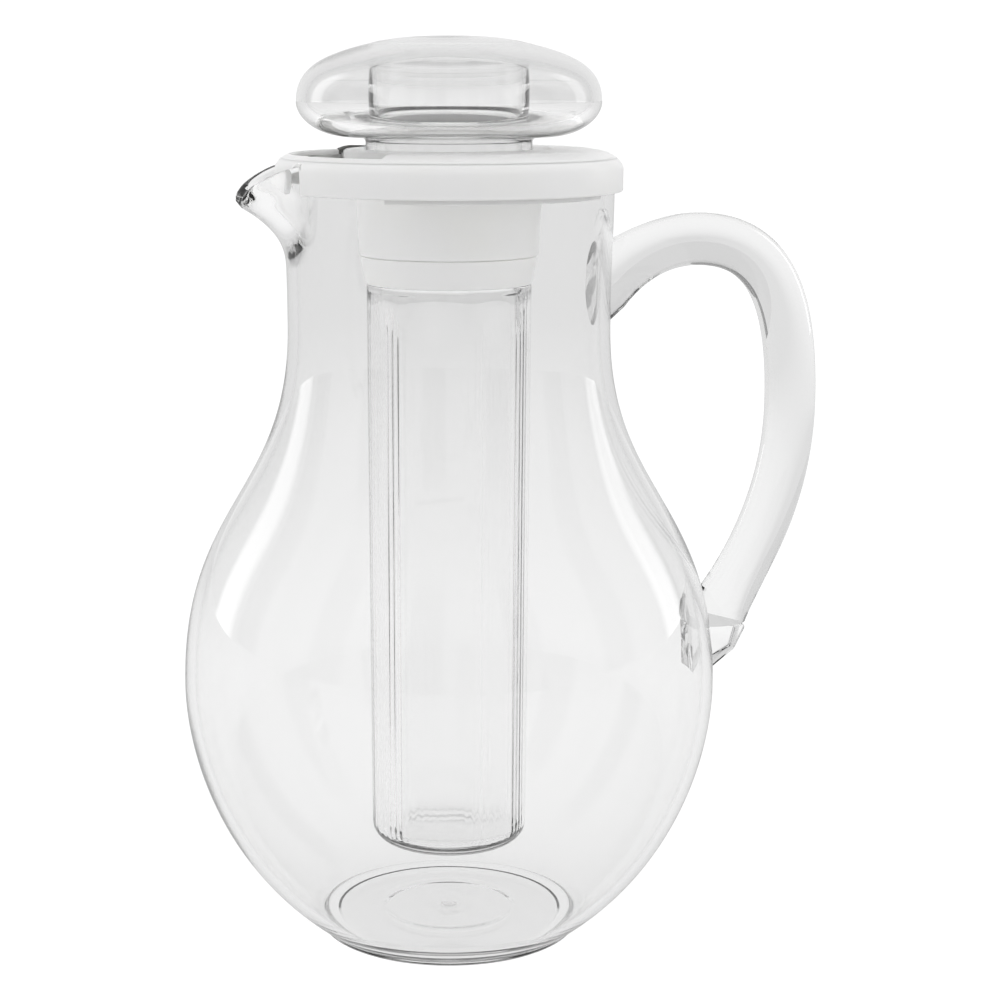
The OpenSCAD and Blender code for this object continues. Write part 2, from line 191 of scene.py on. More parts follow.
def rounded(corners, radii, steps=4):
    """A closed outline with each corner rounded by its radius."""
    corners = [np.array(c, float) for c in corners]
    line = []
    for i, (corner, radius) in enumerate(zip(corners, radii)):
        if radius <= 0:
            line.append(corner)
            continue
        before = corners[i - 1] - corner
        after = corners[(i + 1) % len(corners)] - corner
        before_len, after_len = np.linalg.norm(before), np.linalg.norm(after)
        before, after = before / before_len, after / after_len
        half = math.acos(np.clip(before @ after, -1, 1)) / 2
        back = min(radius / math.tan(half), 0.49 * before_len, 0.49 * after_len)
        pull = back * 4 / 3 * math.tan((math.pi / 2 - half) / 2) * math.tan(half)
        first, last = corner + back * before, corner + back * after
        line.append(first)
        line.extend(bezier(first, first - pull * before, last - pull * after, last, steps))
    return np.array(line)


# Meshes

def new_piece(name, verts, faces):
    """A smooth mesh object at the origin, its doubles merged and its faces turned outwards."""
    mesh = bpy.data.meshes.new(name)
    mesh.from_pydata([tuple(v) for v in verts], [], [tuple(f) for f in faces])
    shape = bmesh.new()
    shape.from_mesh(mesh)
    bmesh.ops.remove_doubles(shape, verts=shape.verts, dist=1e-7)
    bmesh.ops.recalc_face_normals(shape, faces=shape.faces)
    if shape.calc_volume(signed=True) < 0:
        bmesh.ops.reverse_faces(shape, faces=shape.faces)
    for face in shape.faces:
        face.smooth = True
    shape.to_mesh(mesh)
    shape.free()
    piece = bpy.data.objects.new(name, mesh)
    bpy.context.scene.collection.objects.link(piece)
    return piece


def skin(columns, closed_round=True, closed_line=False):
    """Faces between columns of points, which may run round and may each be a loop."""
    count, high = len(columns), len(columns[0])
    faces = []
    for i in range(count if closed_round else count - 1):
        a, b = i * high, (i + 1) % count * high
        for j in range(high if closed_line else high - 1):
            k = (j + 1) % high
            faces.append((a + j, b + j, b + k, a + k))
    return faces


def bar_skin(loops):
    """Faces of a bar made of closed loops, with a flat cap at each end."""
    high, last = len(loops[0]), len(loops[0]) * (len(loops) - 1)
    caps = [tuple(range(high)), tuple(range(last + high - 1, last - 1, -1))]
    return skin(loops, closed_round=False, closed_line=True) + caps


def placed(line, turn):
    """An outline of radius and height in millimetres, stood at an angle, in metres."""
    return np.stack([line[:, 0] * math.cos(turn), line[:, 0] * math.sin(turn), line[:, 1]], 1) * MM


def revolved(name, line, sides=192, closed_line=False):
    """A round piece from an outline of radius and height in millimetres."""
    columns = [placed(line, turn) for turn in np.linspace(0, 2 * math.pi, sides, endpoint=False)]
    return new_piece(name, np.concatenate(columns), skin(columns, closed_line=closed_line))


def swept(line, start, end, steps, edge):
    """Vertices and faces of a closed outline swept round the axis, with rounded ends."""
    quarter = np.linspace(0, math.pi / 2, 4)
    ends = [(edge * (1 - math.cos(t)), edge * (1 - math.sin(t))) for t in quarter]
    reach = line[:, 0].mean()
    columns = [(start + along / reach, inset) for along, inset in ends]
    columns += [(turn, 0.0) for turn in np.linspace(start, end, steps + 1)[1:-1]]
    columns += [(end - along / reach, inset) for along, inset in ends[::-1]]
    closed = np.vstack([line[-1:], line, line[:1]])
    way = closed[2:] - closed[:-2]
    way /= np.linalg.norm(way, axis=1)[:, None]
    inwards = np.stack([-way[:, 1], way[:, 0]], 1)
    loops = [placed(line + inset * inwards, turn) for turn, inset in columns]
    return np.concatenate(loops), bar_skin(loops)


def joined(parts):
    """Vertices and faces of several closed shells as one list each."""
    verts, faces, first = [], [], 0
    for part_verts, part_faces in parts:
        verts.append(np.asarray(part_verts))
        faces += [tuple(first + k for k in face) for face in part_faces]
        first += len(part_verts)
    return np.concatenate(verts), faces


def sharp_by_angle(piece, degrees):
    """Marks the edges that turn more than an angle as sharp."""
    shape = bmesh.new()
    shape.from_mesh(piece.data)
    for edge in shape.edges:
        if len(edge.link_faces) == 2 and edge.calc_face_angle(0) > math.radians(degrees):
            edge.smooth = False
    shape.to_mesh(piece.data)
    shape.free()


def plain_mesh(piece):
    """Applies a piece's modifiers, so that it is a mesh alone."""
    graph = bpy.context.evaluated_depsgraph_get()
    mesh = bpy.data.meshes.new_from_object(piece.evaluated_get(graph), depsgraph=graph)
    piece.modifiers.clear()
    old = piece.data
    piece.data = mesh
    bpy.data.meshes.remove(old)
    mesh.name = piece.name


def united(piece, other):
    """Joins another closed shell to a piece and removes what lies inside."""
    union = piece.modifiers.new("union", "BOOLEAN")
    union.operation = "UNION"
    union.solver = "EXACT"
    union.object = other
    plain_mesh(piece)
    bpy.data.objects.remove(other)


def dressed(piece, material, body, slot, *nodes):
    """Gives a piece its material and body, and hides the CAD nodes that it stands for. The slot is not
    used.
    """
    piece.data.materials.clear()
    piece.data.materials.append(material)
    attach(piece, body)
    if nodes:
        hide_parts(*nodes)


# Materials

def linear(hex_value):
    """Linear RGBA of an sRGB hex value."""
    parts = [int(hex_value[i:i + 2], 16) / 255 for i in (1, 3, 5)]
    return tuple(c / 12.92 if c <= 0.04045 else ((c + 0.055) / 1.055)**2.4 for c in parts) + (1.0,)


def add_node(tree, kind, fields=None, values=None, links=None):
    """Adds a node with its fields, its socket values and its links."""
    node = tree.nodes.new(kind)
    for key, value in (fields or {}).items():
        setattr(node, key, value)
    for key, value in (values or {}).items():
        node.inputs[key].default_value = value
    for key, source in (links or {}).items():
        tree.links.new(source, node.inputs[key])
    return node


def new_material(name):
    """A node material with an empty tree."""
    material = bpy.data.materials.new(name)
    material.use_nodes = True
    material.node_tree.nodes.clear()
    return material, material.node_tree


def fine_as(size):
    """Noise scale that gives a pattern its size, in millimetres."""
    return 1 / (size * MM)


def clear_acrylic(name, face, edge, wave_mm, wave_depth_mm, edge_shade_start):
    """Clear acrylic, injection moulded. It is glossy and almost colourless, its faint flow waves bend
    what is seen through it, and a few specks are duller from handling. Where it turns away from the eye
    its colour darkens: painted shade that stands in for the dark lines its walls bend in from the room."""
    material, tree = new_material(name)
    place = add_node(tree, "ShaderNodeTexCoord")
    wave = add_node(tree, "ShaderNodeTexNoise", None,
                    {"Scale": fine_as(wave_mm), "Detail": 1.5, "Roughness": 0.4},
                    {"Vector": place.outputs["Object"]})
    bump = add_node(tree, "ShaderNodeBump", None, {"Strength": 1.0, "Distance": wave_depth_mm * MM},
                    {"Height": wave.outputs["Fac"]})
    speck = add_node(tree, "ShaderNodeTexNoise", None, {"Scale": fine_as(1.11), "Detail": 1.0},
                     {"Vector": place.outputs["Object"]})
    dull = add_node(tree, "ShaderNodeMapRange", None,
                    {"From Min": 0.66, "From Max": 0.8, "To Min": 0.0, "To Max": 0.05},
                    {"Value": speck.outputs["Fac"]})
    # Painted shade: the colour darkens towards the edge colour where the surface turns away from the
    # eye
    facing = add_node(tree, "ShaderNodeLayerWeight", None, {"Blend": 0.5})
    turned = add_node(tree, "ShaderNodeMapRange", SMOOTH,
                      {"From Min": edge_shade_start, "From Max": 1.0}, {"Value": facing.outputs["Facing"]})
    tint_with_edge_shade = add_node(tree, "ShaderNodeMix", RGBA,
                    {6: linear(face), 7: linear(edge)}, {0: turned.outputs["Result"]})
    shader = add_node(tree, "ShaderNodeBsdfPrincipled", None,
                      {"IOR": PLASTIC_IOR, "Transmission Weight": 1.0},
                      {"Base Color": tint_with_edge_shade.outputs[2], "Normal": bump.outputs["Normal"],
                       "Roughness": dull.outputs["Result"]})
    add_node(tree, "ShaderNodeOutputMaterial", None, None, {"Surface": shader.outputs[0]})
    return material


def white_polypropylene(name, colour):
    """White polypropylene, moulded and lightly polished: a soft gloss, a trace of milky
    depth, wide shallow sink marks, and a fine mould texture that blurs its highlights. The
    texture is drawn coarser than the real one, which is too fine to show."""
    material, tree = new_material(name)
    place = add_node(tree, "ShaderNodeTexCoord")
    grain = add_node(tree, "ShaderNodeTexNoise", None, {"Scale": fine_as(0.714), "Detail": 3.0},
                     {"Vector": place.outputs["Object"]})
    sink = add_node(tree, "ShaderNodeTexNoise", None, {"Scale": fine_as(16.7), "Detail": 2.0},
                    {"Vector": place.outputs["Object"]})
    height = add_node(tree, "ShaderNodeMath", {"operation": "MULTIPLY_ADD"}, {1: 0.15},
                      {0: grain.outputs["Fac"], 2: sink.outputs["Fac"]})
    bump = add_node(tree, "ShaderNodeBump", None, {"Strength": 0.35, "Distance": 0.08 * MM},
                    {"Height": height.outputs["Value"]})
    tone = add_node(tree, "ShaderNodeMix", RGBA,
                    {6: linear(colour), 7: linear(WHITE_LOW)}, {0: sink.outputs["Fac"]})
    rough = add_node(tree, "ShaderNodeMapRange", None, {"To Min": 0.28, "To Max": 0.4},
                     {"Value": grain.outputs["Fac"]})
    shader = add_node(tree, "ShaderNodeBsdfPrincipled", None,
                      {"IOR": PLASTIC_IOR, "Specular IOR Level": 0.25, "Subsurface Weight": 1.0,
                       "Subsurface Scale": 0.5 * MM, "Subsurface Radius": (1.0, 1.0, 1.0)},
                      {"Base Color": tone.outputs[2], "Normal": bump.outputs["Normal"],
                       "Roughness": rough.outputs["Result"]})
    add_node(tree, "ShaderNodeOutputMaterial", None, None, {"Surface": shader.outputs[0]})
    return material


def behind_plastic(tree, path):
    """More light for matt surfaces behind clear plastic, which takes the place of the light
    that real clear walls focus on them."""
    more = add_node(tree, "ShaderNodeMapRange", None,
                    {"From Min": 0.0, "From Max": 4.0, "To Min": 1.0, "To Max": 1.95},
                    {"Value": path.outputs["Transmission Depth"]})
    return more.outputs["Result"]


def studio_paper(name, colour):
    """Matt white studio paper, uncoated, with a faint fibre that is drawn coarser than the real one.
    Most of its brightness is a painted glow that stands in for studio light: where the eye meets it
    directly the glow burns it out to white, mirrored in the plastic it glows a plain grey, seen through
    the plastic it glows bright near the object and greyer further back, and the glow lights the white
    pieces evenly."""
    material, tree = new_material(name)
    place = add_node(tree, "ShaderNodeTexCoord")
    path = add_node(tree, "ShaderNodeLightPath")
    fibre = add_node(tree, "ShaderNodeTexNoise", None, {"Scale": fine_as(1.43), "Detail": 4.0},
                     {"Vector": place.outputs["Object"]})
    tone = add_node(tree, "ShaderNodeMix", RGBA,
                    {6: linear(colour), 7: linear(PAPER_LOW)}, {0: fibre.outputs["Fac"]})
    away = add_node(tree, "ShaderNodeVectorMath", {"operation": "LENGTH"}, None,
                    {0: place.outputs["Object"]})
    # Painted light: the glow that the plastic shows of the paper fades from bright near the object to
    # greyer further back
    fade = add_node(tree, "ShaderNodeMapRange", SMOOTH,
                    {"From Min": 0.2, "From Max": 1.7, "To Min": 0.99, "To Max": 0.76},
                    {"Value": away.outputs["Value"]})
    matt = add_node(tree, "ShaderNodeMath", {"operation": "GREATER_THAN"}, {1: 0.5},
                    {0: path.outputs["Diffuse Depth"]})
    spread = add_node(tree, "ShaderNodeMath", MULTIPLY, {1: 0.8},
                      {0: behind_plastic(tree, path)})
    mirrored = add_node(tree, "ShaderNodeMix", {"data_type": "FLOAT"}, {3: 0.6},
                        {0: path.outputs["Is Reflection Ray"], 2: fade.outputs["Result"]})
    unseen = add_node(tree, "ShaderNodeMix", {"data_type": "FLOAT"}, None,
                      {0: matt.outputs[0], 2: mirrored.outputs[0], 3: spread.outputs[0]})
    seen = add_node(tree, "ShaderNodeMix", {"data_type": "FLOAT"}, {3: 1.1},
                    {0: path.outputs["Is Camera Ray"], 2: unseen.outputs[0]})
    paper = add_node(tree, "ShaderNodeBsdfDiffuse", None, None, {"Color": tone.outputs[2]})
    glow = add_node(tree, "ShaderNodeEmission", None, None,
                    {"Color": tone.outputs[2], "Strength": seen.outputs[0]})
    mix = add_node(tree, "ShaderNodeMixShader", None, {0: 0.9},
                   {1: paper.outputs[0], 2: glow.outputs[0]})
    add_node(tree, "ShaderNodeOutputMaterial", None, None, {"Surface": mix.outputs[0]})
    return material


# The jug

# Relief of the foot's underside and of the inside of the floor, as radii and heights: shallow
# steps and, in the middle, the gate mark. Number, pitch and depth of the fine ribs at the foot
UNDER_RELIEF = ((0, 0.5), (19.4, 0.5), (20.4, 0.35))
FLOOR_RELIEF = ((28, 0), (22, 0), (20.8, 0.03), (20.2, 0.17), (19, 0.2), (10, 0.2), (2.9, 0.2),
                (2.3, 0.35), (1.6, 0.55), (0.8, 0.6), (0, 0.6))
RIBS, RIB_PITCH, RIB_DEPTH = 4, 1.9, 0.06


class JugShape:
    """The outline of the jug and the swelling of its spout, in millimetres."""

    def __init__(self, sizes):
        self.height = JUG_HIGH.z / MM
        self.foot_r = sizes.foot_radius / MM
        self.belly = np.array([sizes.belly_radius, sizes.belly_height]) / MM
        self.waist = np.array([sizes.waist_radius / MM, self.height - sizes.neck_length / MM])
        self.rim = np.array([sizes.rim_radius / MM, self.height])
        self.wall = sizes.wall / MM
        self.floor = sizes.floor / MM
        self.ledge_z = self.belly[1] + sizes.ledge_rise / MM
        self.foot_round = 1.3
        self.foot_ring = 3.2
        self.side = self.outline()
        self.inside = shifted(self.side, self.wall)
        self.spout_h = sizes.spout_height / MM
        self.spout_drop = sizes.spout_drop / MM
        self.spout_angle = 23.0
        self.tip_z = self.height - self.spout_drop
        self.tip_r = self.rim[0] + sizes.spout_out / MM
        self.spout_z = self.tip_z - self.spout_h
        self.lip = 2.4
        self.dip_x = 0.77 * self.rim[0]
        run = self.tip_r - self.dip_x
        start = (self.dip_x, self.height)
        self.edge = np.vstack([start, bezier(
            start, (self.dip_x + 0.45 * run, self.height),
            (self.tip_r, self.tip_z + 0.35 * self.spout_drop), (self.tip_r, self.tip_z), 60)])

    def outline(self):
        """The outside from the foot to the rim. The factors say how far each curve's controls
        lie from its ends."""
        foot = np.array([self.foot_r, self.foot_round])
        slope = math.radians(36)
        low, high = self.belly[1] - self.foot_round, self.waist[1] - self.belly[1]
        neck = self.height - self.waist[1]
        up = np.array([0.0, 1.0])
        return np.vstack([
            foot,
            bezier(foot, foot + 0.549 * low * np.array([math.cos(slope), math.sin(slope)]),
                   self.belly - 0.212 * low * up, self.belly, 110),
            bezier(self.belly, self.belly + 0.508 * high * up,
                   self.waist - 0.468 * high * up, self.waist, 44),
            bezier(self.waist, self.waist + 0.5 * neck * up,
                   self.rim - 0.5 * neck * up, self.rim, 16)])

    def radius(self, z):
        """Radius of the outside, away from the spout."""
        return np.interp(z, self.side[:, 1], self.side[:, 0])

    def swell(self, z, start):
        """How far the spout has swollen at a height, from 0 to a little over 1."""
        t = np.maximum((z - start) / self.spout_h, 0)
        return np.where(t < 1, t**2.6, 1 + 0.15 * (1 - np.exp((1 - t) * 2.6 / 0.15)))

    def fall(self, share):
        """How the swelling falls off sideways, from 1 at the spout's middle to a crease at 1."""
        if abs(share) >= 1:
            return 0.0
        return 0.5 * (1 + math.cos(math.pi * share)) / 2 + 0.5 * math.cos(math.pi * share / 2)

    def outer(self, z, angle):
        """Radius of the outside at a height and an angle from the spout's middle."""
        fall = self.fall(angle / self.spout_angle)
        out = self.tip_r - self.radius(self.tip_z)
        return self.radius(z) + out * self.swell(z, self.spout_z) * fall

    def inner(self, z, angle):
        """Radius of the inside at a height and an angle from the spout's middle."""
        wide = self.spout_angle - math.degrees(math.atan(self.wall / self.rim[0]))
        fall = self.fall(angle / wide)
        base = np.interp(z, self.inside[:, 1], self.inside[:, 0])
        out = self.tip_r - self.lip - self.radius(self.tip_z) + self.wall
        return base + out * self.swell(z, self.spout_z + 1.35 * self.wall) * fall

    def top(self, surface, angle):
        """Height at which the spout's sloping edge cuts a surface."""
        z = np.linspace(self.tip_z - 1, self.height, 200)
        x = surface(z, angle) * math.cos(math.radians(angle))
        cut = np.where(x < self.dip_x, self.height, np.interp(x, self.edge[:, 0], self.edge[:, 1]))
        under = z <= cut
        return float(z[under][-1]) if under.any() else self.tip_z

    def column(self, angle):
        """The whole section at an angle from the spout's middle: from under the floor's centre,
        up the outside, over the rim and down the inside to the floor's centre."""
        half = self.wall / 2
        # From 8 mm below the spout up, both sides have the same number of level rows
        base = self.spout_z - 8
        foot_in = self.foot_r - self.foot_round
        ring_in = foot_in - self.foot_ring
        step = UNDER_RELIEF[-1][1]
        under = rounded([*UNDER_RELIEF, (ring_in - 1, step), (ring_in, 0), (foot_in, 0)],
                        [0, 0.6, 0.6, 0.6, 0.5, 0], 4)
        foot = arc((foot_in, self.foot_round), self.foot_round, -90, -6, 5)
        low = self.side[self.side[:, 1] < base]
        ribs = np.clip((low[:, 1] - self.foot_round) / RIB_PITCH, 0, RIBS)
        low = low - RIB_DEPTH * np.stack([1 - np.cos(2 * math.pi * ribs), 0 * ribs], 1)
        rise = np.linspace(0, 1, 32)
        z_out = base + (self.top(self.outer, angle) - half - base) * rise
        z_in = base + (self.top(self.inner, angle) - half - base) * rise[::-1]
        outside = np.stack([self.outer(z_out, angle), z_out], 1)
        inside = np.stack([self.inner(z_in, angle), z_in], 1)
        lift = np.array([0, 1.33 * half])
        over = bezier(outside[-1], outside[-1] + lift, inside[0] + lift, inside[0], 10)[:-1]
        down = self.inside[(self.inside[:, 1] < base) & (self.inside[:, 1] > self.floor + 4)][::-1]
        corner_r = np.interp(self.floor, self.inside[:, 1], self.inside[:, 0]) + 0.4
        corner = np.array([corner_r, self.floor])
        fillet = bezier(down[-1], down[-1] + 0.75 * (corner - down[-1]), corner - (1, 0),
                        corner - (6, 0), 10)
        floor = np.array(FLOOR_RELIEF) + (0, self.floor)
        return np.vstack([under, foot, low, outside, over, inside, down, fillet, floor])


def ledge_mesh(jug, width):
    """The wedge on the belly that carries the handle's lower end."""
    z, deep, out = jug.ledge_z, 13.4, 13.6
    root = jug.radius(z) - jug.wall / 2
    nose = jug.radius(z) + 0.72 * out
    outline = rounded([(root, z), (root - 0.1, z - deep - jug.wall), (nose, z - 0.58 * deep),
                       (jug.radius(z) + out, z)], [0, 0, 1.6, 0.8])
    half, edge = width / 2, 0.5
    rise = [(-half, edge), (-half + 0.15, 0.2), (-half + edge, 0)]
    levels = rise + [(-y, inset) for y, inset in rise[::-1]]
    middle = outline.mean(axis=0)
    loops = []
    for y, inset in levels:
        away = outline - middle
        pulled = outline - inset * away / np.linalg.norm(away, axis=1)[:, None]
        loops.append(np.stack([pulled[:, 0], np.full(len(outline), y), pulled[:, 1]], 1) * MM)
    return new_piece("jug_ledge", np.concatenate(loops), bar_skin(loops))


def build_jug(sizes, colours):
    """The clear body with its spout, rim, foot ring and the ledge for the handle."""
    jug = JugShape(sizes)
    turns = np.linspace(0, 2 * math.pi, 240, endpoint=False)
    columns = [placed(jug.column(math.degrees(turn) - 180), turn) for turn in turns]
    piece = new_piece("jug_shell", np.concatenate(columns), skin(columns))
    united(piece, ledge_mesh(jug, sizes.ledge_width / MM))
    sharp_by_angle(piece, 38)
    material = clear_acrylic("clear_acrylic_jug", colours.jug, colours.edge, wave_mm=55,
                             wave_depth_mm=0.2, edge_shade_start=0.8)
    dressed(piece, material, "jug", "clear_plastic", "jug_body")


# The handle

def bar_line(sizes, jug):
    """Centre line of the bar with a tail at each end, and how far the bar swells along it."""
    root_drop, crest_drop = 37.5, 25
    crest_out, outer_out, foot_out = 28.2, 27.4, 4.6
    root_turn, foot_turn = math.radians(42), math.radians(64)
    tail_length, tail_points, swell_share = 16, 40, 0.18
    steps = (100, 140, 160)
    root_z = jug.height - root_drop
    root = np.array([jug.radius(root_z) - jug.wall / 4, root_z])
    crest = np.array([jug.radius(root_z) + crest_out, jug.height - crest_drop])
    outer_z = jug.ledge_z + 0.55 * (jug.height - root_drop / 2 - jug.ledge_z)
    outer = np.array([jug.belly[0] + outer_out, outer_z])
    foot = np.array([jug.radius(jug.ledge_z) + foot_out, jug.ledge_z + 0.05])
    root_way = np.array([math.cos(root_turn), math.sin(root_turn)])
    foot_way = np.array([math.cos(foot_turn), math.sin(foot_turn)])
    reach = np.linalg.norm(outer - foot)
    tail = np.linspace(tail_length, 0, tail_points, endpoint=False)[:, None]
    line = np.vstack([
        root - tail * root_way,
        root,
        bezier(root, root + 0.43 * (crest[0] - root[0]) * root_way,
               crest - (0.31 * (crest[0] - root[0]), 0), crest, steps[0]),
        bezier(crest, crest + (0.7 * (outer[0] - crest[0]), 0),
               outer + (0, 0.69 * (crest[1] - outer[1])), outer, steps[1]),
        bezier(outer, outer - (0, 0.48 * reach), foot + 0.2 * reach * foot_way, foot, steps[2]),
        foot - tail[::-1] * foot_way])
    share = np.linspace(0, 1, sum(steps) + 1)
    share = np.concatenate([np.zeros(tail_points), share, np.ones(tail_points)])
    ends = [np.clip(1 - from_end / swell_share, 0, 1)**2 for from_end in (share, 1 - share)]
    return line, sizes.bar_flare / MM * sum(ends)


def bar_strand(sizes, jug, line, grow, share, turn):
    """One line of points along the bar, from the neck to the ledge or the belly."""
    way = np.gradient(line, axis=0)
    way /= np.linalg.norm(way, axis=1)[:, None]
    normal = np.stack([-way[:, 1], way[:, 0]], 1)
    flat = line + share * ((sizes.bar_thickness / MM / 2 + grow) * math.cos(turn))[:, None] * normal
    side = share * (sizes.bar_width / MM / 2 + grow / 2) * math.sin(turn)
    points = np.stack([flat[:, 0], side, flat[:, 1]], 1)
    gap = 0.04
    clear = np.hypot(points[:, 0], points[:, 1]) - jug.radius(points[:, 2]) - gap
    clear = np.minimum(clear, points[:, 2] - jug.ledge_z - gap)
    middle = len(points) // 2
    first = middle - int(np.argmax(clear[:middle][::-1] <= 0))
    last = middle + int(np.argmax(clear[middle:] <= 0)) - 1

    def crossing(inside, outside):
        """The point between two points of the strand where it enters the jug."""
        k = clear[outside] / (clear[outside] - clear[inside])
        return points[outside] + k * (points[inside] - points[outside])

    kept = np.vstack([crossing(first - 1, first), points[first:last + 1], crossing(last + 1, last)])
    run = np.concatenate([[0], np.cumsum(np.linalg.norm(np.diff(kept, axis=0), axis=1))])
    at = np.linspace(0, run[-1], 140)
    return np.stack([np.interp(at, run, kept[:, k]) for k in range(3)], 1) * MM


def build_handle(sizes, colours):
    """The solid bar that is bonded to the neck and to the ledge on the belly."""
    jug = JugShape(sizes)
    line, grow = bar_line(sizes, jug)
    sides, rings = 48, 5
    turns = np.linspace(0, 2 * math.pi, sides, endpoint=False)
    strands = [[bar_strand(sizes, jug, line, grow, 1 - ring / rings, turn) for turn in turns]
               for ring in range(rings)]
    centre = bar_strand(sizes, jug, line, grow, 0, 0)
    verts = list(np.concatenate(strands[0]))
    faces = skin(strands[0])
    long = len(centre)
    for end in (0, long - 1):
        previous = [k * long + end for k in range(sides)]
        for ring in range(1, rings):
            current = list(range(len(verts), len(verts) + sides))
            verts.extend(strands[ring][k][end] for k in range(sides))
            faces.extend((previous[k], previous[(k + 1) % sides], current[(k + 1) % sides], current[k])
                         for k in range(sides))
            previous = current
        verts.append(centre[end])
        faces.extend((previous[k], previous[(k + 1) % sides], len(verts) - 1) for k in range(sides))
    piece = new_piece("handle_bar", verts, faces)
    sharp_by_angle(piece, 40)
    material = clear_acrylic("clear_acrylic_bar", colours.bar, colours.edge, wave_mm=40,
                             wave_depth_mm=0.2, edge_shade_start=0.8)
    dressed(piece, material, "jug", "clear_plastic", "handle")


# The lid

# Thickness of the lid's skirt and plug wall, and how far each reaches below the rim
SKIRT_WALL, SKIRT_DROP = 1.9, 9.7
PLUG_WALL, PLUG_DROP = 1.8, 11.3

# Insets from the lid's outer radius and drops from its top: the skirt's upper edge, the
# plate's round shoulder, and the ring's round top where the skirt goes on alone
SKIRT_TOP = ((0.35, 4.2), (1.2, 3.05))
SHOULDER = ((2.6, 1.95), (4.4, 1.05), (6.8, 0.35))
RING_TOP = ((2.6, 1.95), (4.2, 1.25), (4.8, 1.6), (5, 2.2), (4.8, 3), (2.4, 3.3), (1.9, 3.9))


def lid_plate(jug, hub, plug, outer, top, opening):
    """The plate with its plug and skirt, open above the spout, where the skirt goes on alone
    and is cut away from below for the spout's walls."""
    rim, skirt_in, plug_in = jug.height, outer - SKIRT_WALL, plug - PLUG_WALL
    skirt_z, plug_z = rim - SKIRT_DROP, rim - PLUG_DROP
    corner = np.array([outer, top])
    skirt_top, shoulder, ring_top = corner - SKIRT_TOP, corner - SHOULDER, corner - RING_TOP
    heights = np.linspace(skirt_z - 0.5, rim, 60)

    def skirt(low):
        """The skirt's section from its inside round its lower edge and up its outside."""
        line = rounded([(skirt_in, max(rim, low + 0.5)), (skirt_in, low), (outer, low),
                        (outer, max(top - 5.4, low + 0.3))], [0, 0.4, 0.7, 0])
        return np.vstack([line, skirt_top])

    plate = rounded([(outer - 9.5, top), (hub - 2, top), (hub - 2, rim), (plug_in, rim),
                     (plug_in, plug_z), (plug, plug_z), (plug, rim), (skirt_in, rim)],
                    [0, 0, 0, 0.4, 0.5, 0.5, 0.4, 0])[:-1]
    whole = np.vstack([skirt(skirt_z), shoulder, plate])
    parts = []
    left, right = math.pi - opening, math.pi + opening
    loops = [placed(whole, turn) for turn in np.linspace(right - 2 * math.pi, left, 201)]
    parts.append((np.concatenate(loops), skin(loops, closed_round=False, closed_line=True)))
    loops = []
    for turn in np.linspace(left, right, 111):
        angle = math.degrees(turn) - 180
        meets = ((jug.outer(heights, angle) > skirt_in - 0.25)
                 & (jug.inner(heights, angle) < outer + 0.25)
                 & (heights <= jug.top(jug.outer, angle)))
        low = heights[meets][-1] + 0.5 if meets.any() else skirt_z
        low = min(max(low, skirt_z), rim + 0.1)
        loops.append(placed(np.vstack([skirt(low), ring_top]), turn))
    parts.append((np.concatenate(loops), skin(loops, closed_round=False, closed_line=True)))
    cap = np.vstack([skirt(skirt_z)[-1:], shoulder, plate, skirt(skirt_z)[:1], ring_top[::-1]])
    for turn in (left, right):
        parts.append((placed(cap, turn), [tuple(range(len(cap)))]))
    return joined(parts)


def build_lid(sizes, jug_sizes, colours):
    """The white lid: hub and sleeve, plate with plug and skirt, and a web at each end of the
    pouring opening."""
    jug = JugShape(jug_sizes)
    top, outer, rim = LID_HIGH.z / MM, LID_HIGH.x / MM, JUG_HIGH.z / MM
    hub, plug = sizes.hub_radius / MM, sizes.plug_radius / MM
    bore, seat_r, seat_z, sleeve_z = 24.7, 21.6, top - 24.5, LID_LOW.z / MM
    sleeve_low, sleeve_high = bore + 1.7, bore + 2.55
    plug_z, under_hub = rim - PLUG_DROP, top - 4.9
    core = rounded(
        [(bore, top), (bore, seat_z), (seat_r, seat_z), (seat_r, seat_z - 2), (bore, seat_z - 2),
         (bore, sleeve_z), (sleeve_low, sleeve_z), (sleeve_high, plug_z),
         (sleeve_high, under_hub - 2.5), (hub, under_hub), (hub, top)],
        [0.5, 0.2, 0.3, 0.3, 0.2, 0.3, 0.5, 0.4, 1.2, 0.5, 0.6])
    web = rounded([(hub - 1, rim + 1), (hub - 1, plug_z), (plug - 0.4, plug_z),
                   (plug - 0.4, rim + 1)], [0, 0.4, 0.4, 0])
    columns = [placed(core, turn) for turn in np.linspace(0, 2 * math.pi, 256, endpoint=False)]
    left, right = math.pi - sizes.opening, math.pi + sizes.opening
    web_turn = PLUG_WALL / plug
    parts = [(np.concatenate(columns), skin(columns, closed_line=True)),
             lid_plate(jug, hub, plug, outer, top, sizes.opening),
             swept(web, left - web_turn, left, 4, 0.3),
             swept(web, right, right + web_turn, 4, 0.3)]
    piece = new_piece("lid_moulding", *joined(parts))
    sharp_by_angle(piece, 50)
    dressed(piece, white_polypropylene("white_polypropylene_lid", colours.white),
            "lid", "white_plastic", "lid")


# The ice tube

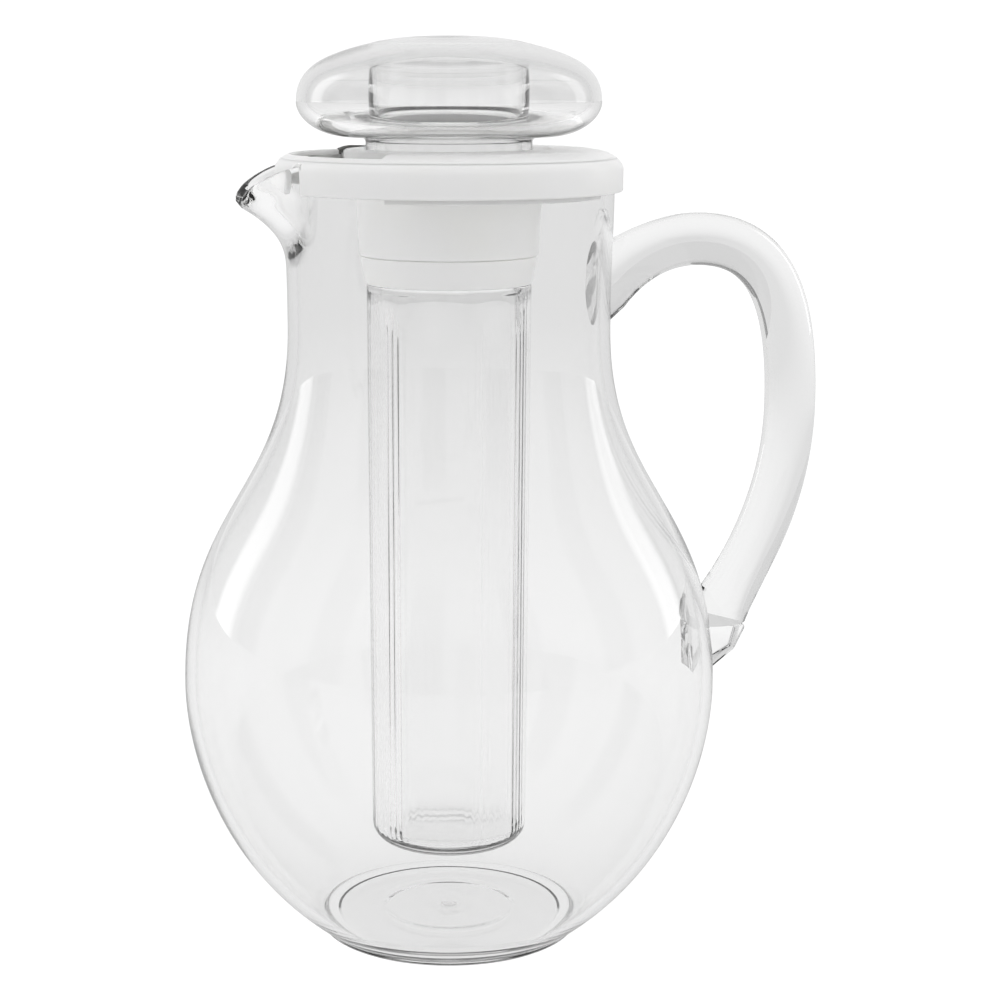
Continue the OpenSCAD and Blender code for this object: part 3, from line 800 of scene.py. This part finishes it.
def flute_tree():
    """Moves the marked points of a piece in and out round the axis, in lobes and fine flutes."""
    tree = bpy.data.node_groups.new("tube flutes", "GeometryNodeTree")
    inputs = {}
    for name, kind in (("Geometry", "NodeSocketGeometry"), ("Lobes", "NodeSocketInt"),
                       ("Lobe depth", "NodeSocketFloat"), ("Flutes", "NodeSocketInt"),
                       ("Flute depth", "NodeSocketFloat"), ("Material", "NodeSocketMaterial")):
        inputs[name] = tree.interface.new_socket(name, in_out="INPUT", socket_type=kind).identifier
    tree.interface.new_socket("Geometry", in_out="OUTPUT", socket_type="NodeSocketGeometry")
    given = add_node(tree, "NodeGroupInput")
    place = add_node(tree, "GeometryNodeInputPosition")
    split = add_node(tree, "ShaderNodeSeparateXYZ", None, None, {0: place.outputs[0]})
    angle = add_node(tree, "ShaderNodeMath", {"operation": "ARCTAN2"}, None,
                     {0: split.outputs["Y"], 1: split.outputs["X"]})
    marked = add_node(tree, "GeometryNodeInputNamedAttribute", {"data_type": "FLOAT"},
                      {"Name": "bore"})
    total = None
    for count, depth in (("Lobes", "Lobe depth"), ("Flutes", "Flute depth")):
        turned = add_node(tree, "ShaderNodeMath", MULTIPLY, None,
                          {0: angle.outputs[0], 1: given.outputs[count]})
        wave = add_node(tree, "ShaderNodeMath", {"operation": "COSINE"}, None, {0: turned.outputs[0]})
        wave = add_node(tree, "ShaderNodeMath", MULTIPLY, None,
                        {0: wave.outputs[0], 1: given.outputs[depth]})
        if total:
            wave = add_node(tree, "ShaderNodeMath", {"operation": "ADD"}, None,
                            {0: wave.outputs[0], 1: total.outputs[0]})
        total = wave
    reach = add_node(tree, "ShaderNodeMath", MULTIPLY, None,
                     {0: total.outputs[0], 1: marked.outputs[0]})
    flat = add_node(tree, "ShaderNodeCombineXYZ", None, None,
                    {"X": split.outputs["X"], "Y": split.outputs["Y"]})
    outwards = add_node(tree, "ShaderNodeVectorMath", {"operation": "NORMALIZE"}, None,
                        {0: flat.outputs[0]})
    offset = add_node(tree, "ShaderNodeVectorMath", {"operation": "SCALE"}, None,
                      {0: outwards.outputs[0], "Scale": reach.outputs[0]})
    moved = add_node(tree, "GeometryNodeSetPosition", None, None,
                     {"Geometry": given.outputs["Geometry"], "Offset": offset.outputs[0]})
    real = add_node(tree, "GeometryNodeRealizeInstances", None, None, {"Geometry": moved.outputs[0]})
    finished = add_node(tree, "GeometryNodeSetMaterial", None, None,
                        {"Geometry": real.outputs[0], "Material": given.outputs["Material"]})
    add_node(tree, "NodeGroupOutput", None, None, {0: finished.outputs[0]})
    return tree, inputs


def build_tube(sizes, colours):
    """The clear tube for ice, with lobes and fine flutes down its inside."""
    low, high, radius = TUBE_LOW.z / MM, TUBE_HIGH.z / MM, TUBE_HIGH.x / MM
    shoulder, neck_r, taper, bore = high - 10.7, radius - 1.6, 0.8, radius - 3.7
    low_r = radius - taper
    floor, corner, inner_corner, lip, edge = low + 3, 5, 2.6, 0.5, 0.8
    walls = np.linspace(0, 1, 60)[:, None]
    outside = (low_r, low + corner) + walls * (taper, shoulder - 1.2 - low - corner)
    inside = (bore, shoulder - 3.2) + walls * (0, floor + inner_corner - shoulder + 3.2)
    line = np.vstack([
        [(0, low + 0.35), (8, low + 0.3), (14, low)],
        arc((low_r - corner, low + corner), corner, -90, 0, 12)[:-1],
        outside,
        arc((radius - edge, shoulder - edge), edge, 0, 90, 5),
        [(neck_r, shoulder), (neck_r, high - lip)],
        arc((neck_r - lip, high - lip), lip, 0, 90, 4)[1:],
        [(neck_r - 2 * lip, high)],
        arc((bore, high - lip), lip, 90, 180, 4),
        [(bore - lip, shoulder - 1.2), (bore - 0.3, shoulder - 2.2)],
        inside,
        arc((bore - inner_corner, floor + inner_corner), inner_corner, 0, -90, 8)[1:],
        [(9, floor), (0, floor)]])
    columns = [placed(line, turn) for turn in np.linspace(0, 2 * math.pi, 672, endpoint=False)]
    piece = new_piece("ice_tube_clear", np.concatenate(columns), skin(columns))
    bore_mark = piece.data.attributes.new("bore", "FLOAT", "POINT")
    marks = []
    # The lobes fade in over the upper 12 mm of the bore and over 3 mm of the floor's edge
    fade_down, fade_in = 12, 3
    for vertex in piece.data.vertices:
        r, z = math.hypot(vertex.co.x, vertex.co.y) / MM, vertex.co.z / MM
        inner = bore - fade_in < r < bore + 0.6 and floor + 0.05 < z < shoulder - 2
        fade = min((shoulder - 2 - z) / fade_down, 1) * min((r - bore + fade_in) / fade_in, 1)
        marks.append(fade if inner else 0.0)
    bore_mark.data.foreach_set("value", marks)
    material = clear_acrylic("clear_acrylic_tube", colours.tube, colours.edge, wave_mm=25,
                             wave_depth_mm=0.08, edge_shade_start=0.78)
    tree, inputs = flute_tree()
    flutes = piece.modifiers.new("flutes", "NODES")
    flutes.node_group = tree
    flutes[inputs["Lobes"]] = sizes.lobes
    flutes[inputs["Lobe depth"]] = sizes.lobe_depth
    flutes[inputs["Flutes"]] = sizes.flutes
    flutes[inputs["Flute depth"]] = sizes.flute_depth
    flutes[inputs["Material"]] = material
    plain_mesh(piece)
    dressed(piece, material, "ice_core", "clear_plastic", "ice_tube")


def build_collar(colours):
    """The white collar at the tube's upper end."""
    low, high, wide = COLLAR_LOW.z / MM, COLLAR_HIGH.z / MM, COLLAR_HIGH.x / MM
    top = LID_LOW.z / MM - 0.12
    bore, spigot = TUBE_HIGH.x / MM - 1.55, TUBE_HIGH.x / MM
    line = rounded([(bore, low), (bore + 1.75, low), (wide, top), (spigot, top), (spigot, high),
                    (bore, high)], [0.3, 0.5, 0.5, 0.3, 0.4, 0.3])
    piece = revolved("collar_white", line, 192, True)
    sharp_by_angle(piece, 50)
    dressed(piece, white_polypropylene("white_polypropylene_collar", colours.white),
            "ice_core", "white_plastic", "tube_collar")


# The knob

# How far the crown falls from its middle, at shares of the radius of its flat part
CROWN_FALL = ((0.25, 0.09), (0.5, 0.35), (0.75, 0.79), (1, 1.6))


def build_knob(sizes, colours):
    """The hollow knob: an underside with its neck, and a crown welded to it."""
    low, top, radius = BASE_LOW.z / MM, CROWN_HIGH.z / MM, CROWN_HIGH.x / MM
    wall = sizes.knob_wall / MM
    under_z, seam_z = top - 29.4, CROWN_LOW.z / MM
    neck, spread, gap = 24.4, 4.8, 0.02
    crown = np.array([(0, top - gap)] + [(0.46 * radius * share, top - fall)
                                         for share, fall in CROWN_FALL])
    flat, seam = crown[-1], np.array([radius, seam_z])
    drop = flat[1] - seam_z
    crown = np.vstack([crown, bezier(flat, flat + (0.5 * (radius - flat[0]), -0.17 * drop),
                                     seam + (0, 0.68 * drop), seam, 40)])
    under_end = np.array([neck + spread, under_z + 0.5])
    under = np.vstack([seam, bezier(seam, seam - (0, 0.47 * (seam_z - under_z)),
                                    under_end + (0.58 * (radius - neck - spread), 0), under_end, 30)])
    crown_in, under_in = shifted(crown, -wall), shifted(under, -wall)
    rising = neck - wall / 3
    roof = top - wall
    inner = [p for p in under_in if p[1] < seam_z - gap and p[0] > rising + 0.5]
    base_line = np.vstack([
        under - (0, gap),
        rounded([under_end, (neck, under_z), (neck, low), (neck - wall, low), (neck - wall, roof - 3),
                 (rising, roof - 3), (rising, under_z + wall), (rising + 4, under_z + wall)],
                [0, 1.2, 0.6, 0.6, 0.5, 0.5, 0.8, 0])[1:-1],
        inner[::-1],
        [(radius - wall, seam_z - gap)]])
    inner = [p for p in crown_in if p[1] > seam_z + gap and p[0] > 22]
    crown_line = np.vstack([
        crown + (0, gap),
        [(radius - wall, seam_z + gap)],
        inner[::-1],
        [(17, roof - 0.45), (8, roof - 0.1), (0, roof)]])
    material = clear_acrylic("clear_acrylic_knob", colours.tube, colours.edge, wave_mm=30,
                             wave_depth_mm=0.1, edge_shade_start=0.75)
    for name, line, closed, node in (("knob_underside", base_line, True, "knob_base"),
                                     ("knob_cap", crown_line, False, "knob_crown")):
        piece = revolved(name, line, 224, closed)
        sharp_by_angle(piece, 50)
        dressed(piece, material, "knob", "clear_plastic", node)


# The studio

# Dark screens round the studio, which give clear plastic its dark lines: the bearing of each
# one's middle and half of its width, in degrees, with bearing 0 along +Y and 90 along -X
SCREENS = ((67.5, 8), (-67.5, 8), (112.5, 9), (-112.5, 9), (157.5, 9), (-157.5, 9))

# Tall soft boxes at both sides, a little behind the jug, which only its gloss shows
SOFT_BOXES = ((51, 10), (-75, 10))

# How much of a panel's half width its soft edge leaves at full strength
SCREEN_CORE, BOX_CORE = 0.8, 0.3

# The ways to the back of the studio and to its front
BACK, FRONT = (0.208, 0.978, 0.0), (-0.208, -0.978, 0.0)


def grey(level):
    """A linear grey of one level."""
    return (level, level, level, 1.0)


def panels(tree, bearing, places, core):
    """1 where a bearing falls on one of the panels, which have a soft edge, and 0 elsewhere."""
    all_panels = None
    for middle, half in places:
        way = (-math.sin(math.radians(middle)), math.cos(math.radians(middle)), 0.0)
        along = add_node(tree, "ShaderNodeVectorMath", {"operation": "DOT_PRODUCT"}, {1: way},
                         {0: bearing.outputs[0]})
        panel = add_node(tree, "ShaderNodeMapRange", SMOOTH,
                         {"From Min": math.cos(math.radians(half)),
                          "From Max": math.cos(math.radians(core * half))},
                         {"Value": along.outputs["Value"]})
        if all_panels:
            panel = add_node(tree, "ShaderNodeMath", {"operation": "MAXIMUM"}, None,
                             {0: all_panels.outputs[0], 1: panel.outputs[0]})
        all_panels = panel
    return all_panels


def studio_world(scene):
    """Soft light from all round. The eye meets plain white, and matt surfaces get light that
    is strongest from above and weakest from the front. What is seen through the plastic is a
    soft grey with dark screens, and what is mirrored in it is a darker grey that brightens
    towards the back, with the screens and two soft boxes."""
    world = bpy.data.worlds.new("studio light")
    scene.world = world
    world.use_nodes = True
    tree = world.node_tree
    tree.nodes.clear()
    path = add_node(tree, "ShaderNodeLightPath")
    place = add_node(tree, "ShaderNodeTexCoord")
    split = add_node(tree, "ShaderNodeSeparateXYZ", None, None, {0: place.outputs["Generated"]})
    flat = add_node(tree, "ShaderNodeCombineXYZ", None, None,
                    {"X": split.outputs["X"], "Y": split.outputs["Y"]})
    bearing = add_node(tree, "ShaderNodeVectorMath", {"operation": "NORMALIZE"}, None,
                       {0: flat.outputs[0]})
    low = add_node(tree, "ShaderNodeMapRange", SMOOTH,
                   {"From Min": 0.55, "From Max": 0.75, "To Min": 1.0, "To Max": 0.0},
                   {"Value": split.outputs["Z"]})
    dark, bright = [
        add_node(tree, "ShaderNodeMath", MULTIPLY, None,
                 {0: panels(tree, bearing, places, core).outputs[0], 1: low.outputs[0]})
        for places, core in ((SCREENS, SCREEN_CORE), (SOFT_BOXES, BOX_CORE))]
    ceiling = add_node(tree, "ShaderNodeMix", RGBA,
                       {6: grey(0.7), 7: grey(0.75)}, {0: low.outputs[0]})
    through = add_node(tree, "ShaderNodeMix", RGBA, {7: grey(0.26)},
                       {0: dark.outputs[0], 6: ceiling.outputs[2]})
    mirrored = add_node(tree, "ShaderNodeMix", RGBA, {6: grey(0.55), 7: grey(0.4)},
                        {0: dark.outputs[0]})
    behind = add_node(tree, "ShaderNodeVectorMath", {"operation": "DOT_PRODUCT"},
                      {1: BACK}, {0: place.outputs["Generated"]})
    behind = add_node(tree, "ShaderNodeMapRange", SMOOTH,
                      {"From Min": 0.6, "From Max": 0.95}, {"Value": behind.outputs["Value"]})
    mirrored = add_node(tree, "ShaderNodeMix", RGBA, {7: grey(0.95)},
                        {0: behind.outputs["Result"], 6: mirrored.outputs[2]})
    mirrored = add_node(tree, "ShaderNodeMix", RGBA, {7: grey(2.6)},
                        {0: bright.outputs[0], 6: mirrored.outputs[2]})
    around = add_node(tree, "ShaderNodeMix", RGBA, None,
                      {0: path.outputs["Is Reflection Ray"], 6: through.outputs[2],
                       7: mirrored.outputs[2]})
    matt = add_node(tree, "ShaderNodeMath", {"operation": "GREATER_THAN"}, {1: 0.5},
                    {0: path.outputs["Diffuse Depth"]})
    sky = add_node(tree, "ShaderNodeMapRange", None,
                   {"From Min": 0.0, "From Max": 1.0, "To Min": 0.68, "To Max": 1.35},
                   {"Value": split.outputs["Z"]})
    ahead = add_node(tree, "ShaderNodeVectorMath", {"operation": "DOT_PRODUCT"},
                     {1: FRONT}, {0: place.outputs["Generated"]})
    front = add_node(tree, "ShaderNodeMapRange", SMOOTH,
                     {"From Min": 0.5, "From Max": 1.0, "To Min": 1.0, "To Max": 0.45},
                     {"Value": ahead.outputs["Value"]})
    sky = add_node(tree, "ShaderNodeMath", MULTIPLY, None,
                   {0: sky.outputs[0], 1: front.outputs[0]})
    sky = add_node(tree, "ShaderNodeMath", MULTIPLY, None,
                   {0: sky.outputs[0], 1: behind_plastic(tree, path)})
    unseen = add_node(tree, "ShaderNodeMix", RGBA, None,
                      {0: matt.outputs[0], 6: around.outputs[2], 7: sky.outputs[0]})
    tone = add_node(tree, "ShaderNodeMix", RGBA, {7: grey(1.08)},
                    {0: path.outputs["Is Camera Ray"], 6: unseen.outputs[2]})
    light = add_node(tree, "ShaderNodeBackground", None, None, {"Color": tone.outputs[2]})
    add_node(tree, "ShaderNodeOutputWorld", None, None, {"Surface": light.outputs[0]})


def build_studio(colours):
    """A pale floor, soft light from all round, and the camera at the photograph's place."""
    scene = bpy.context.scene
    scene.view_settings.view_transform = "Standard"
    scene.cycles.max_bounces = scene.cycles.transmission_bounces = 24
    scene.cycles.diffuse_bounces = scene.cycles.glossy_bounces = 8
    reach = 12.0
    verts = [(-reach, -reach, 0), (reach, -reach, 0), (reach, reach, 0), (-reach, reach, 0)]
    mesh = bpy.data.meshes.new("studio_floor")
    mesh.from_pydata(verts, [], [(0, 1, 2, 3)])
    floor = bpy.data.objects.new("studio_floor", mesh)
    scene.collection.objects.link(floor)
    mesh.materials.append(studio_paper("studio_paper", colours.floor))

    studio_world(scene)

    camera = bpy.data.objects.new("camera", bpy.data.cameras.new("camera"))
    scene.collection.objects.link(camera)
    azimuth, distance, height, pitch = math.radians(-12), 0.67, 0.263, math.radians(11)
    camera.location = (math.sin(azimuth) * distance, -math.cos(azimuth) * distance, height)
    camera.rotation_euler = (math.pi / 2 - pitch, 0, azimuth)
    camera.data.sensor_width = 36
    camera.data.lens = 81.54
    camera.data.shift_x = 0.051
    camera.data.clip_start = 0.01
    scene.camera = camera


# Operators, panel and main call

class PitcherStep:
    """What the operators share."""
    bl_options = {"REGISTER"}

    def execute(self, context):
        """Builds the step's pieces; what goes wrong in it is raised as an error."""
        self.build(context.scene.pitcher_jug, context.scene.pitcher_core, context.scene.pitcher_colours)
        return {"FINISHED"}


class PITCHER_OT_jug(PitcherStep, bpy.types.Operator):
    """Builds the clear jug with its spout and ledge"""
    bl_idname = "pitcher.jug"
    bl_label = "Jug"

    def build(self, jug, core, colours):
        build_jug(jug, colours)


class PITCHER_OT_handle(PitcherStep, bpy.types.Operator):
    """Builds the bar handle"""
    bl_idname = "pitcher.handle"
    bl_label = "Handle"

    def build(self, jug, core, colours):
        build_handle(jug, colours)


class PITCHER_OT_lid(PitcherStep, bpy.types.Operator):
    """Builds the white lid"""
    bl_idname = "pitcher.lid"
    bl_label = "Lid"

    def build(self, jug, core, colours):
        build_lid(core, jug, colours)


class PITCHER_OT_core(PitcherStep, bpy.types.Operator):
    """Builds the ice tube and its collar"""
    bl_idname = "pitcher.core"
    bl_label = "Ice tube and collar"

    def build(self, jug, core, colours):
        build_tube(core, colours)
        build_collar(colours)


class PITCHER_OT_knob(PitcherStep, bpy.types.Operator):
    """Builds the hollow knob"""
    bl_idname = "pitcher.knob"
    bl_label = "Knob"

    def build(self, jug, core, colours):
        build_knob(core, colours)


class PITCHER_OT_studio(PitcherStep, bpy.types.Operator):
    """Builds the floor, the light and the camera"""
    bl_idname = "pitcher.studio"
    bl_label = "Studio"

    def build(self, jug, core, colours):
        build_studio(colours)


STEPS = (PITCHER_OT_studio, PITCHER_OT_jug, PITCHER_OT_handle, PITCHER_OT_lid, PITCHER_OT_core,
         PITCHER_OT_knob)


class PITCHER_PT_panel(bpy.types.Panel):
    """Lists the steps that build the pitcher"""
    bl_idname = "PITCHER_PT_panel"
    bl_label = "Pitcher"
    bl_space_type = "VIEW_3D"
    bl_region_type = "UI"
    bl_category = "Pitcher"

    def draw(self, context):
        for step in STEPS:
            self.layout.operator(step.bl_idname)


GROUPS = {"pitcher_jug": JugSizes, "pitcher_core": CoreSizes, "pitcher_colours": FinishColours}
CLASSES = tuple(GROUPS.values()) + STEPS + (PITCHER_PT_panel,)


def register():
    """Registers the classes and puts the sizes and colours on the scene."""
    for cls in CLASSES:
        bpy.utils.register_class(cls)
    for name, group in GROUPS.items():
        setattr(bpy.types.Scene, name, bpy.props.PointerProperty(type=group))


def unregister():
    """Takes the sizes, colours and classes away again."""
    for name in GROUPS:
        delattr(bpy.types.Scene, name)
    for cls in reversed(CLASSES):
        bpy.utils.unregister_class(cls)


def main():
    """Builds everything."""
    register()
    for operator in (bpy.ops.pitcher.studio, bpy.ops.pitcher.jug, bpy.ops.pitcher.handle,
                     bpy.ops.pitcher.lid, bpy.ops.pitcher.core, bpy.ops.pitcher.knob):
        operator()


if __name__ == "__main__":
    main()
